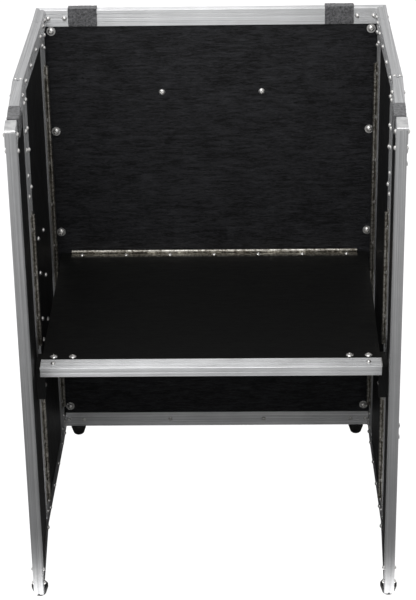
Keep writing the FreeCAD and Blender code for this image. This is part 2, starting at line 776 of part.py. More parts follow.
def build_shelf_cleat(name, side, place):
    """A block on the front section's inner face that the shelf's bracket rests on."""
    top = BRACKET_BOTTOM - 0.3
    across = ((INNER_FACE + SKIN + FIT) * side, (INNER_FACE - size("cleat_thickness")) * side)
    front, rear = FRONT_SIDE_BACK - CLEAT_LENGTH, FRONT_SIDE_BACK - FLANGE - 0.5
    cleat = block(f"{name}_shelf_cleat", across, (front, rear), (top - CLEAT_HEIGHT, top))
    on_stile = box_outline((INNER_FACE * side, across[1]), (rear, FRONT_SIDE_BACK - size("leaf_width") - 2))
    pad(cleat, "XY", [on_stile], (top - CLEAT_HEIGHT, top))
    sub_part(cleat, f"{name}_shelf_cleat", place)


# ---------------------------------------------------------------- feet

def foot_body(name):
    """A tapered rubber foot, standing on the floor at its own axis."""
    bottom, top = size("foot_bottom_radius"), size("foot_top_radius")
    profile = [
        (as_dim(0), as_dim(0)), (bottom - 1.5, as_dim(0)), (bottom, as_dim(1.5)),
        (top, FOOT - 5), (top, FOOT - 1), (top - 1, FOOT), (as_dim(0), FOOT)]
    return lathe(name, profile)


BACK_FOOT_X = 238.0


def build_back_feet():
    feet = []
    for name, side in SIDES.items():
        foot = foot_body(f"{name}_back_foot")
        foot.Placement = Placement(Vector(BACK_FOOT_X * side, -(WALL / 2).value, 0), Rotation())
        feet.append(foot)
    sub_part(group("back_feet", feet), "back_feet")


# ---------------------------------------------------------------- pads on the back

BACK_PAD_X = 200.0


def build_back_pads():
    thick = size("pad_thickness")
    section = [
        (as_dim(-0.5), TOP), (as_dim(-0.5), TOP + thick), (-(WALL + thick * 0.7), TOP + thick),
        (-(WALL + thick * 0.7), TOP - FLANGE), (-WALL, TOP - FLANGE), (-WALL, TOP)]
    half = size("pad_width") / 2
    for name, side in SIDES.items():
        middle = BACK_PAD_X * side
        reach = (middle - half, middle + half)
        sub_part(prism(f"back_{name}_pad", "YZ", [section], reach), f"back_{name}_pad")


# ---------------------------------------------------------------- shelf

SHELF_HINGE_HALF = 234.0
SHELF_HINGE_KNUCKLES = 19


def build_shelf():
    panel = block(
        "shelf_panel", (-SHELF_HALF + 0.5, SHELF_HALF - 0.5), (SHELF_REAR, SHELF_FRONT + SKIN + FIT),
        (SHELF_BOTTOM + SKIN + FIT, SHELF_PLY_TOP - FIT))
    sub_part(panel, "shelf_panel")
    flange = size("shelf_flange")
    edge = box_outline((-SHELF_HALF, SHELF_HALF), (SHELF_FRONT, SHELF_FRONT + flange))
    rail = channel_rail(
        "shelf_front_rail", "XY", edge, (SHELF_BOTTOM, SHELF_RAIL_TOP), "YZ",
        lambda a, d: (SHELF_FRONT + d, SHELF_RAIL_TOP - a), (-SHELF_HALF, SHELF_HALF), flange)
    sub_part(rail, "shelf_front_rail")
    build_shelf_brackets()
    build_shelf_hinge()
    build_shelf_screws()


BRACKET_INNER, BRACKET_OUTER = 196.0, 254.6
BRACKET_FRONT, BRACKET_REAR = 28.2, 54.0


def build_shelf_brackets():
    """Steel plates under the shelf's front corners: their ends reach past it onto the cleats."""
    plates = []
    for name, side in SIDES.items():
        plates.append(block(
            f"{name}_shelf_bracket", (as_dim(BRACKET_INNER * side), as_dim(BRACKET_OUTER * side)),
            (SHELF_FRONT + BRACKET_FRONT, SHELF_FRONT + BRACKET_REAR), (BRACKET_BOTTOM, BRACKET_TOP)))
    sub_part(group("shelf_brackets", plates), "shelf_brackets")


def build_shelf_hinge():
    thin = size("leaf_thickness")
    gap = size("knuckle_gap")
    run = (-SHELF_HINGE_HALF, SHELF_HINGE_HALF)
    centre = (SHELF_AXIS_Y, SHELF_AXIS_Z)
    root = SHELF_AXIS_Y - BARREL - gap
    on_shelf = (SHELF_PLY_TOP, SHELF_PLY_TOP + thin)
    moving = hinge_leaf(
        "shelf_hinge_shelf_leaf", "YZ", "X_Axis", centre,
        box_outline((root, SHELF_AXIS_Y - size("leaf_width")), on_shelf),
        box_outline((SHELF_AXIS_Y, root), on_shelf),
        box_outline((root, SHELF_AXIS_Y + BARREL + 1), (SHELF_PLY_TOP - 1, SHELF_AXIS_Z + BARREL + 1)),
        run, SHELF_HINGE_KNUCKLES, 0)
    sub_part(moving, "shelf_hinge_shelf_leaf")
    low_root = SHELF_AXIS_Z - BARREL - gap
    behind = (BACK_INNER_FACE, BACK_INNER_FACE - thin)
    fixed = hinge_leaf(
        "shelf_hinge_back_leaf", "YZ", "X_Axis", centre,
        box_outline(behind, (low_root, SHELF_AXIS_Z - size("leaf_width"))),
        box_outline(behind, (SHELF_AXIS_Z, low_root)),
        box_outline(
            (SHELF_AXIS_Y - BARREL - 1, BACK_INNER_FACE + 1), (low_root, SHELF_AXIS_Z + BARREL + 1)),
        run, SHELF_HINGE_KNUCKLES, 1)
    sub_part(fixed, "shelf_hinge_back_leaf")
    sub_part(hinge_pin("shelf_hinge_pin", "YZ", centre, run), "shelf_hinge_pin")


def build_shelf_screws():
    leaf_top = SHELF_PLY_TOP + size("leaf_thickness")
    leaf_middle = SHELF_AXIS_Y - (BARREL + size("leaf_width")) / 2
    hinge = [((x, leaf_middle, leaf_top), (0, 0, 1)) for x in spread(-216.6, 216.6, 7)]
    truss, small = [], []
    for side in SIDES.values():
        for x in (206.0, 234.0):
            truss.append(((x * side, SHELF_FRONT + 40, SHELF_PLY_TOP - FIT), (0, 0, 1)))
        small.append(((233.0 * side, SHELF_FRONT + 15, SHELF_RAIL_TOP), (0, 0, 1)))
        small.append(((233.0 * side, SHELF_FRONT + 15, SHELF_BOTTOM), (0, 0, -1)))
    under = [((x, y, BRACKET_BOTTOM), (0, 0, -1)) for (x, y, _), _ in truss]
    heads = seats(SCREW, hinge) + seats(TRUSS, truss + under) + seats(RIVET, small)
    fasteners("shelf_screws", heads)


# ---------------------------------------------------------------- outside hardware

# Folded shut, the two rear sections meet edge to edge in front of the tray. Twist latches on the
# right one catch on plates on the left one, and the left one carries the handle.
LATCH_Y = -308.0
LATCH_HEIGHTS = {"upper": 633.0, "lower": 174.0}
LATCH_BELOW, LATCH_ABOVE = 53.0, 21.0
LATCH_PLATE_HALF = 12.0
LATCH_RIVET_Y = -302.5
LATCH_RIVET_OFFSETS = (-45.0, 14.0)
OUTER_PLATE = HALF_WIDTH + size("plate_thickness")
RIGHT, LEFT = 1, -1


def latch_rivets():
    """y, z of the rivets through the latch and catch plates."""
    return [(LATCH_RIVET_Y, z + offset) for z in LATCH_HEIGHTS.values() for offset in LATCH_RIVET_OFFSETS]


def latch_base(name, side, height, cuts=()):
    """A plate on the outer face of the front stile."""
    across = (LATCH_Y - LATCH_PLATE_HALF, LATCH_Y + LATCH_PLATE_HALF)
    outline = box_outline(across, (height - LATCH_BELOW, height + LATCH_ABOVE))
    return prism(name, "YZ", [outline, *cuts], (HALF_WIDTH * side, OUTER_PLATE * side))


def build_latches():
    place = rear_side_place(RIGHT)
    plates = []
    shaft = size("latch_shaft_radius")
    tongue_top = OUTER_PLATE + 2.5
    for level, height in LATCH_HEIGHTS.items():
        hole = Circle(LATCH_Y, height, shaft + size("running_fit"))
        plates.append(latch_base(f"{level}_latch_plate", RIGHT, height, [hole]))
        name = f"{level}_latch_wing"
        wing = prism(name, "YZ", [Circle(LATCH_Y, height, shaft)], (HALF_WIDTH + 0.3, OUTER_PLATE + 0.5))
        pad(wing, "YZ", [Circle(LATCH_Y, height, size("latch_disc_radius"))], (OUTER_PLATE + 0.5, tongue_top))
        tongue = box_outline((LATCH_Y - 5, LATCH_Y + 5), (height - size("latch_tongue_length"), height))
        pad(wing, "YZ", [tongue], (OUTER_PLATE + 0.5, tongue_top))
        pad(wing, "YZ", [Circle(LATCH_Y, height, 6)], (tongue_top, tongue_top + 2.3))
        pad(wing, "XZ", [wing_outline(height, tongue_top)], (LATCH_Y - 1.75, LATCH_Y + 1.75))
        sub_part(wing, name, place)
    sub_part(group("latch_plates", plates), "latch_plates", place)


def wing_outline(height, base):
    """The butterfly: narrow at its foot, wide at its rim, with a notch for the finger."""
    half = size("wing_half_height")
    rim = HALF_WIDTH + size("wing_reach")
    return [
        (base, height - 5), (base + 3, height - half), (rim, height - half + 1), (rim, height - half + 5),
        (rim - 2.5, height - 3), (rim - 2.5, height + 3), (rim, height + half - 5),
        (rim, height + half - 1), (base + 3, height + half), (base, height + 5)]


def build_catches():
    """Each plate has a lip, open at the edge of the wall, that the latch's tongue turns under."""
    edge = REAR_SIDE_FRONT
    reach = HALF_WIDTH + 6.4
    lip = HALF_WIDTH + 4.6
    plates = []
    for level, height in LATCH_HEIGHTS.items():
        plate = latch_base(f"{level}_catch_plate", LEFT, height)
        hook = [
            (-OUTER_PLATE, edge + 9.5), (-OUTER_PLATE, edge + 12), (-reach, edge + 12),
            (-reach, edge + 2.5), (-lip, edge + 2.5), (-lip, edge + 9.5)]
        pad(plate, "XY", [hook], (height - 8, height + 8))
        plates.append(plate)
    sub_part(group("catch_plates", plates), "catch_plates", rear_side_place(LEFT))


HANDLE_Y, HANDLE_Z = -212.0, 390.0
HANDLE_RIVETS = [
    (-179.0, 462.0), (-179.0, 385.0), (-185.0, 311.0), (-243.0, 477.0), (-243.0, 419.0),
    (-247.0, 343.0), (-247.0, 307.0)]
PIVOT_Y = HANDLE_Y + 23
ROD_X = -(HALF_WIDTH + 5)
LUG_INNER, LUG_OUTER = 54.0, 60.0


def handle_rivet_seats():
    """Rivets through the handle's plate and the ply behind it."""
    ply_inner = INNER_FACE + SKIN + FIT
    plate_face = HALF_WIDTH - SKIN - FIT + size("plate_thickness")
    inner = [((-ply_inner, y, z), (1, 0, 0)) for y, z in HANDLE_RIVETS]
    outer = [((-plate_face, y, z), (-1, 0, 0)) for y, z in HANDLE_RIVETS]
    return inner + outer


def build_handle():
    place = rear_side_place(LEFT)
    half_wide, half_high = size("handle_width") / 2, size("handle_height") / 2
    ply_face = HALF_WIDTH - SKIN - FIT
    plate_face = ply_face + size("plate_thickness")
    across, along = (HANDLE_Y - half_wide, HANDLE_Y + half_wide), (HANDLE_Z - half_high, HANDLE_Z + half_high)
    plate = prism("handle_plate", "YZ", [box_outline(across, along)], (-ply_face, -plate_face))
    lug = box_outline((-plate_face, -(HALF_WIDTH + 9)), (PIVOT_Y - 6, PIVOT_Y + 6))
    for low, high in ((-LUG_OUTER, -LUG_INNER), (LUG_INNER, LUG_OUTER)):
        pad(plate, "XY", [lug], (HANDLE_Z + low, HANDLE_Z + high))
    bore = Circle(ROD_X, PIVOT_Y, size("bail_pivot_radius") + size("running_fit"))
    pocket(plate, "XY", [bore], (HANDLE_Z - LUG_OUTER - 1, HANDLE_Z + LUG_OUTER + 1))
    sub_part(plate, "handle_plate", place)
    sub_part(build_bail(), "handle_bail", place)


def rod(name, radius, length, start, rotation):
    """A round bar from a point, along the rotated Z axis."""
    bar = doc.addObject("Part::Cylinder", name)
    bar.Placement = Placement(Vector(), rotation)
    bar.setExpression("Radius", as_dim(radius).formula)
    bar.setExpression("Height", as_dim(length).formula)
    for letter, value in zip("xyz", start):
        bar.setExpression(f"Placement.Base.{letter}", as_dim(value).formula)
    return bar


def build_bail():
    """A U of round bar: two arms on pivots, two bends and the grip."""
    thick, bend = size("bail_rod_radius"), size("bail_bend_radius")
    half, reach = size("bail_half_length"), size("bail_reach")
    pivot, pivot_length = size("bail_pivot_radius"), LUG_OUTER - 0.5 - half
    upright, forward = Rotation(), Rotation(Vector(1, 0, 0), 90)
    outward, up, ahead = Vector(1, 0, 0), Vector(0, 0, 1), Vector(0, -1, 0)
    bend_turns = {-1: Rotation(ahead, -up, outward, "ZXY"), 1: Rotation(up, ahead, outward, "ZXY")}
    grip_y = PIVOT_Y - reach
    pieces = [rod("bail_grip", thick, (half - bend) * 2, (ROD_X, grip_y, HANDLE_Z - half + bend), upright)]
    for end, sign in (("lower", -1), ("upper", 1)):
        arm_z = HANDLE_Z + half * sign
        eye_half = thick + 0.3
        pivot_start = arm_z if sign > 0 else arm_z - pivot_length
        pieces.append(rod(f"bail_{end}_arm", thick, reach - bend, (ROD_X, PIVOT_Y, arm_z), forward))
        pieces.append(rod(
            f"bail_{end}_eye", thick + 0.8, eye_half * 2, (ROD_X, PIVOT_Y, arm_z - eye_half), upright))
        pieces.append(rod(f"bail_{end}_pivot", pivot, pivot_length, (ROD_X, PIVOT_Y, pivot_start), upright))
        elbow = doc.addObject("Part::Torus", f"bail_{end}_bend")
        elbow.Angle3 = 90
        elbow.Placement = Placement(Vector(), bend_turns[sign])
        elbow.setExpression("Radius1", bend.formula)
        elbow.setExpression("Radius2", thick.formula)
        for letter, value in zip("xyz", (ROD_X, grip_y + bend, arm_z - bend * sign)):
            elbow.setExpression(f"Placement.Base.{letter}", as_dim(value).formula)
        pieces.append(elbow)
    bail = doc.addObject("Part::MultiFuse", "handle_bail")
    bail.Shapes = pieces
    return bail


def build_all():
    build_back()
    build_back_fasteners()
    build_back_feet()
    build_back_pads()
    for name, side in SIDES.items():
        build_return(name, side)
        build_rear_side(name, side)
        build_front_side(name, side)
    build_shelf()
    build_latches()
    build_catches()
    build_handle()


def check_and_export():
    """Writes each sub-part once everything has been found sound."""
    doc.recompute()
    for feature in doc.Objects:
        if {"Invalid", "Error"} & set(feature.State):
            raise RuntimeError(f"{feature.Label} failed: {feature.State}")
    for feature in sub_parts:
        shape = feature.Shape
        if shape.isNull() or not shape.isValid() or not shape.Solids:
            raise RuntimeError(f"{feature.Label} has no sound solid")
    for feature in sub_parts:
        feature.Shape.exportStep(f"{PARTS_FOLDER}/{feature.Label}.step")
    whole = Part.makeCompound([feature.Shape for feature in sub_parts]).BoundBox
    print(len(sub_parts), "sub-parts", [round(v, 2) for v in (
        whole.XMin, whole.XMax, whole.YMin, whole.YMax, whole.ZMin, whole.ZMax)])


build_all()
check_and_export()
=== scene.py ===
"""Looks of the fold-out equipment stand: materials, fuzzy pads, camera and studio light."""

import math
from random import Random

import bmesh
import bpy
from mathutils import Matrix, Vector, noise


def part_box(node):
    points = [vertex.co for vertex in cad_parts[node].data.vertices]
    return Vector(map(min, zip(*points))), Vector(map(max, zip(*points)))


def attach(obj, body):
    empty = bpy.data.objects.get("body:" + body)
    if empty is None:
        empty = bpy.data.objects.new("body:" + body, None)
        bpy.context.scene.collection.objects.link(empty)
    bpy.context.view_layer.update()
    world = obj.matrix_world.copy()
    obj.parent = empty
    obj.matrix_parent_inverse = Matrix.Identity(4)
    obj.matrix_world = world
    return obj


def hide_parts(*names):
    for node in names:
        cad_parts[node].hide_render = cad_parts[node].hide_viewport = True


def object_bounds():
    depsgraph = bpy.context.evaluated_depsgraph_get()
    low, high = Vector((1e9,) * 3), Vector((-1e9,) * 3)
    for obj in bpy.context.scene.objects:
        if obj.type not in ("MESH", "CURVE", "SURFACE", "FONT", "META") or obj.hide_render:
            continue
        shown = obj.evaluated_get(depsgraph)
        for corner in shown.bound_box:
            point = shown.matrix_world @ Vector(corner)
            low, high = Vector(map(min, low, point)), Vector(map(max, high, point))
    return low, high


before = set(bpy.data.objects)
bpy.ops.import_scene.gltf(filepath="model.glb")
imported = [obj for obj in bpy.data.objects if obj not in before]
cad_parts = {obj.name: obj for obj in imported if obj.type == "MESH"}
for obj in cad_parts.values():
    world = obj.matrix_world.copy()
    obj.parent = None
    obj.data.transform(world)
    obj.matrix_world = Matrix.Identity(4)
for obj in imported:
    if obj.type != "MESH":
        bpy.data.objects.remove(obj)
cad_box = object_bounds()

# ---------------------------------------------------------------- places on the frame, in metres

# the frames' metal runs level in a band above BAND_TOP and in one below BAND_BOTTOM
BAND_WIDTH = 0.0262
BAND_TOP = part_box("back_top_rail")[1][2] - BAND_WIDTH
BAND_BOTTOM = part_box("back_bottom_rail")[0][2] + BAND_WIDTH
# each pad, and the body that it rides on
PAD_NODES = {
    "back_left_pad": "back",
    "back_right_pad": "back",
    "left_side_pad": "left_front_side",
    "right_side_pad": "right_front_side",
}

# ---------------------------------------------------------------- shader node helpers


class Graph:
    """A material's node tree, with short calls for the nodes used here."""

    def __init__(self, name):
        self.material = bpy.data.materials.new(name)
        self.material.use_nodes = True
        self.tree = self.material.node_tree
        self.shader = self.tree.nodes["Principled BSDF"]
        self.place = self.node("ShaderNodeTexCoord").outputs["Object"]

    def node(self, kind):
        return self.tree.nodes.new(kind)

    def link(self, source, target):
        if hasattr(source, "is_output"):
            self.tree.links.new(source, target)
        else:
            target.default_value = source

    def set(self, **constants):
        """Constants go straight on the shader's sockets: spaces in names are written as _."""
        for name, value in constants.items():
            self.shader.inputs[name.replace("_", " ")].default_value = value

    def scaled(self, scale, vector=None):
        mapping = self.node("ShaderNodeMapping")
        self.link(vector or self.place, mapping.inputs["Vector"])
        mapping.inputs["Scale"].default_value = scale
        return mapping.outputs["Vector"]

    def noise(self, vector, scale, detail=4.0, roughness=0.55, distortion=0.0):
        node = self.node("ShaderNodeTexNoise")
        self.link(vector, node.inputs["Vector"])
        node.inputs["Scale"].default_value = scale
        node.inputs["Detail"].default_value = detail
        node.inputs["Roughness"].default_value = roughness
        node.inputs["Distortion"].default_value = distortion
        return node.outputs["Fac"]

    def range(self, value, low, high, new_low, new_high):
        node = self.node("ShaderNodeMapRange")
        self.link(value, node.inputs["Value"])
        limits = {"From Min": low, "From Max": high, "To Min": new_low, "To Max": new_high}
        for socket, number in limits.items():
            self.link(number, node.inputs[socket])
        return node.outputs["Result"]

    def math(self, operation, first, second=0.0):
        node = self.node("ShaderNodeMath")
        node.operation = operation
        self.link(first, node.inputs[0])
        self.link(second, node.inputs[1])
        return node.outputs["Value"]

    def blend(self, first, share, second, other_share):
        """The sum of two values, each times its share."""
        weighed = self.math("MULTIPLY", first, share)
        other_weighed = self.math("MULTIPLY", second, other_share)
        return self.math("ADD", weighed, other_weighed)

    def axes(self, vector):
        """The X, Y and Z outputs of a vector."""
        node = self.node("ShaderNodeSeparateXYZ")
        self.link(vector, node.inputs[0])
        return node.outputs

    def mix(self, factor, first, second):
        node = self.node("ShaderNodeMix")
        node.data_type = "RGBA"
        self.link(factor, node.inputs["Factor"])
        self.link(first, node.inputs["A"])
        self.link(second, node.inputs["B"])
        return node.outputs["Result"]

    def colour(self, value):
        self.link(value, self.shader.inputs["Base Color"])

    def roughness(self, value):
        self.link(value, self.shader.inputs["Roughness"])

    def bump(self, height, distance, strength=1.0, below=None):
        node = self.node("ShaderNodeBump")
        self.link(height, node.inputs["Height"])
        node.inputs["Distance"].default_value = distance
        node.inputs["Strength"].default_value = strength
        if below is not None:
            self.link(below, node.inputs["Normal"])
        return node.outputs["Normal"]

    def normal(self, value):
        self.link(value, self.shader.inputs["Normal"])


def rgb(r, g, b):
    return (r, g, b, 1.0)


# ---------------------------------------------------------------- materials

# a grain streak, in metres along and across the grain
STREAK_LENGTH, STREAK_WIDTH = 0.011, 0.0016
# how fine the broad streaks and the pores are, against the streaks
BROAD_FINENESS, PORE_FINENESS = 0.3, 2.2


def black_ply(name, grain_axis, dark, light, relief):
    """Black-stained ply: short open grain streaks along one axis, in colour and in relief."""
    graph = Graph(name)
    scale = tuple(1 / (STREAK_LENGTH if axis == grain_axis else STREAK_WIDTH) for axis in "xyz")
    sway = graph.noise(graph.scaled((1, 1, 1)), 26.0, 2.0)
    streak = graph.noise(graph.scaled(scale), 1.0, 4.0, 0.6, 1.4)
    broad = graph.noise(graph.scaled(tuple(s * BROAD_FINENESS for s in scale)), 1.0, 3.0, 0.55, 1.0)
    pores = graph.noise(graph.scaled(tuple(s * PORE_FINENESS for s in scale)), 1.0, 2.0)
    grain = graph.blend(streak, 0.6, broad, 0.4)
    shade = graph.blend(grain, 0.85, sway, 0.15)
    graph.colour(graph.mix(graph.range(shade, 0.42, 0.62, 0.0, 1.0), dark, light))
    graph.roughness(graph.range(shade, 0.38, 0.62, 0.56, 0.4))
    graph.set(Specular_IOR_Level=0.32)
    graph.normal(graph.bump(grain, relief, 0.9, graph.bump(pores, relief * 0.25, 0.6)))
    return graph.material


# features per metre across the draw lines and across the wider bands, and along them
LINES_ACROSS, LINES_ALONG = 1600, 6
BANDS_ACROSS, BANDS_ALONG = 420, 1.5
# a face lies beside the run if its normal leans along the run by less than this
BESIDE_RUN = 0.7
DIRECTIONS = {"x": (1.0, 0.0, 0.0, 1.0), "y": (0.0, 1.0, 0.0, 1.0), "z": (0.0, 0.0, 1.0, 1.0)}


def run_scale(run, across, along):
    """Noise scales for streaks along one axis."""
    return tuple(along if axis == run else across for axis in "xyz")


def level_faces(graph, run):
    """1 on the faces of the level bands that lie beside their run, and 0 elsewhere."""
    height = graph.axes(graph.place)["Z"]
    upper = graph.math("GREATER_THAN", height, BAND_TOP)
    lower = graph.math("LESS_THAN", height, BAND_BOTTOM)
    normal = graph.node("ShaderNodeNewGeometry").outputs["True Normal"]
    lean = graph.math("ABSOLUTE", graph.axes(normal)[run.upper()])
    beside_run = graph.math("LESS_THAN", lean, BESIDE_RUN)
    return graph.math("MULTIPLY", graph.math("MAXIMUM", upper, lower), beside_run)


def aluminium(name, base, run, has_uprights=True):
    """Satin extrusion: draw lines along the run, faint handling marks, duller in patches."""
    graph = Graph(name)
    level = level_faces(graph, run) if has_uprights else 1.0
    lines_up = graph.noise(graph.scaled(run_scale("z", LINES_ACROSS, LINES_ALONG)), 1.0, 2.0)
    lines_level = graph.noise(graph.scaled(run_scale(run, LINES_ACROSS, LINES_ALONG)), 1.0, 2.0)
    bands_up = graph.noise(graph.scaled(run_scale("z", BANDS_ACROSS, BANDS_ALONG)), 1.0, 3.0)
    bands_level = graph.noise(graph.scaled(run_scale(run, BANDS_ACROSS, BANDS_ALONG)), 1.0, 3.0)
    lines = graph.mix(level, lines_up, lines_level)
    bands = graph.mix(level, bands_up, bands_level)
    patches = graph.noise(graph.scaled((1, 1, 1)), 14.0, 3.0)
    scuffs = graph.noise(graph.scaled((1, 1, 1)), 160.0, 4.0, 0.7)
    shade = graph.math("ADD", graph.blend(lines, 0.35, patches, 0.2), graph.math("MULTIPLY", bands, 0.45))
    dull = tuple(channel * 0.68 for channel in base)
    graph.colour(graph.mix(graph.range(shade, 0.40, 0.60, 0.0, 1.0), rgb(*dull), rgb(*base)))
    graph.roughness(graph.range(graph.math("ADD", patches, scuffs), 0.7, 1.3, 0.46, 0.58))
    graph.set(Metallic=1.0, Anisotropic=0.85, Anisotropic_Rotation=0.25)
    tangent = graph.mix(level, DIRECTIONS["z"], DIRECTIONS[run])
    graph.link(tangent, graph.shader.inputs["Tangent"])
    graph.normal(graph.bump(lines, 0.0001, 0.5, graph.bump(scuffs, 0.00008, 0.25)))
    return graph.material


def plated(name, base, tarnish, smooth, rough, metallic=1.0):
    """Plated steel with a little tarnish in soft patches."""
    graph = Graph(name)
    patches = graph.noise(graph.scaled((1, 1, 1)), 90.0, 4.0)
    specks = graph.noise(graph.scaled((1, 1, 1)), 900.0, 3.0)
    graph.colour(graph.mix(graph.range(patches, 0.4, 0.7, 0.0, 1.0), rgb(*base), rgb(*tarnish)))
    graph.roughness(graph.range(patches, 0.3, 0.7, smooth, rough))
    graph.set(Metallic=metallic)
    graph.normal(graph.bump(specks, 0.00004, 0.4))
    return graph.material


def rolled_hinge(name, bright, worn):
    """Rolled hinge steel: dull brown-grey, with rubbed bright spots on its knuckles and leaves."""
    graph = Graph(name)
    rub = graph.noise(graph.scaled((1, 1, 1)), 240.0, 4.0, 0.7)
    stain = graph.noise(graph.scaled((1, 1, 1)), 45.0, 3.0)
    shade = graph.blend(rub, 0.7, stain, 0.3)
    graph.colour(graph.mix(graph.range(shade, 0.42, 0.6, 0.0, 1.0), rgb(*worn), rgb(*bright)))
    graph.roughness(graph.range(shade, 0.35, 0.65, 0.5, 0.28))
    graph.set(Metallic=1.0)
    graph.normal(graph.bump(rub, 0.00012, 0.5))
    return graph.material


def rubber(name):
    """Moulded black rubber, gritty and a little dusty."""
    graph = Graph(name)
    grit = graph.noise(graph.scaled((1, 1, 1)), 700.0, 4.0)
    dust = graph.noise(graph.scaled((1, 1, 1)), 60.0, 3.0)
    clean, dusty = rgb(0.012, 0.012, 0.012), rgb(0.035, 0.034, 0.032)
    graph.colour(graph.mix(graph.range(dust, 0.45, 0.75, 0.0, 1.0), clean, dusty))
    graph.roughness(graph.range(grit, 0.3, 0.7, 0.55, 0.8))
    graph.normal(graph.bump(grit, 0.0003, 0.5))
    return graph.material


def looped_pile(name):
    """Dark grey hook-and-loop pile: tangled fibres over a darker base."""
    graph = Graph(name)
    tangle = graph.noise(graph.scaled((1, 1, 1)), 900.0, 5.0, 0.7, 1.5)
    clumps = graph.noise(graph.scaled((1, 1, 1)), 260.0, 3.0)
    pile = graph.blend(tangle, 0.6, clumps, 0.4)
    base, tips = rgb(0.02, 0.02, 0.022), rgb(0.26, 0.26, 0.27)
    graph.colour(graph.mix(graph.range(pile, 0.38, 0.64, 0.0, 1.0), base, tips))
    graph.set(Roughness=0.95, Sheen_Weight=0.35, Sheen_Roughness=0.5)
    graph.normal(graph.bump(pile, 0.0012, 0.9))
    return graph.material


ALUMINIUM = (0.95, 0.955, 0.965)
MATERIALS = {
    "back_ply": black_ply("back_ply", "x", rgb(0.0022, 0.0022, 0.0028), rgb(0.036, 0.0365, 0.041), 0.0009),
    "side_ply": black_ply("side_ply", "z", rgb(0.003, 0.003, 0.0032), rgb(0.013, 0.013, 0.0135), 0.0003),
    "shelf_ply": black_ply("shelf_ply", "x", rgb(0.0025, 0.0025, 0.0025), rgb(0.007, 0.007, 0.0065), 0.00018),
    "back_aluminium": aluminium("back_aluminium", ALUMINIUM, "x"),
    "side_aluminium": aluminium("side_aluminium", ALUMINIUM, "y"),
    "shelf_aluminium": aluminium("shelf_aluminium", ALUMINIUM, "x", has_uprights=False),
    "cap": plated("zinc_plate", (0.90, 0.90, 0.90), (0.66, 0.66, 0.67), 0.32, 0.46),
    "hinge": rolled_hinge("hinge_steel", (0.62, 0.60, 0.55), (0.16, 0.145, 0.12)),
    "nickel": plated("bright_nickel", (0.98, 0.97, 0.95), (0.91, 0.89, 0.86), 0.24, 0.36, 0.8),
    "rubber": rubber("black_rubber"),
    "pile": looped_pile("looped_pile"),
}


def material_of(node):
    """Which material a CAD node takes."""
    if node.endswith("_pad"):
        return "pile"
    if "foot" in node or "feet" in node:
        return "rubber"
    if node == "back_panel":
        return "back_ply"
    if node == "shelf_panel":
        return "shelf_ply"
    if node.endswith(("_panel", "_cleat")):
        return "side_ply"
    if "latch" in node or "catch" in node or node.startswith("handle") or node == "shelf_brackets":
        return "cap"
    if node.endswith(("_leaf", "_leaves", "_pin", "_pins")):
        return "hinge"
    if node.endswith(("_fasteners", "_rivets", "_bolts", "_screws")):
        return "nickel"
    if node.endswith("_cap"):
        return "cap"
    if node.startswith("shelf"):
        return "shelf_aluminium"
    return "back_aluminium" if node.startswith("back") or node == "corner_angles" else "side_aluminium"


def dress_frame():
    """Gives every CAD node its material."""
    for name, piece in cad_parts.items():
        piece.data.materials.clear()
        piece.data.materials.append(MATERIALS[material_of(name)])


# ---------------------------------------------------------------- fuzzy pads

PILE_VOXEL = 0.0011
# the felt's lumps: depth, how many a metre and their shares, and how far all of it sinks in
PILE_RELIEF = 0.0007
FINE_LUMPS, COARSE_LUMPS = 520.0, 170.0
FINE_SHARE, COARSE_SHARE, PILE_SINK = 0.6, 0.7, 0.9
# a fibre that would leave its pad's box is left out of this number
FIBRES_PER_PAD = 2600
FIBRE_LENGTH = 0.0022
FIBRE_RADIUS = 0.00011
FIBRE_STEPS = 3
FIBRE_SIDES = 3
# shares of a fibre's length that it rises and runs along the pad, and how far its arc turns
FIBRE_RISE, FIBRE_RUN, FIBRE_ARC = 0.36, 0.5, 1.6


def pile_body(node):
    """The pad's felt backing: the solid's shape with its edges softened and its faces lumpy."""
    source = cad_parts[node]
    mesh = source.data.copy()
    piece = bpy.data.objects.new(f"{node}_pile", mesh)
    bpy.context.scene.collection.objects.link(piece)
    remesh = piece.modifiers.new("remesh", "REMESH")
    remesh.mode = "VOXEL"
    remesh.voxel_size = PILE_VOXEL
    smooth = piece.modifiers.new("smooth", "SMOOTH")
    smooth.iterations = 3
    shaped = bpy.data.meshes.new_from_object(piece.evaluated_get(bpy.context.evaluated_depsgraph_get()))
    piece.modifiers.clear()
    piece.data = shaped
    for vertex in shaped.vertices:
        fine = noise.noise(vertex.co * FINE_LUMPS)
        coarse = noise.noise(vertex.co * COARSE_LUMPS + Vector((4.0, 1.0, 7.0)))
        lump = fine * FINE_SHARE + coarse * COARSE_SHARE - PILE_SINK
        vertex.co += vertex.normal * PILE_RELIEF * lump
    for polygon in shaped.polygons:
        polygon.use_smooth = True
    return piece


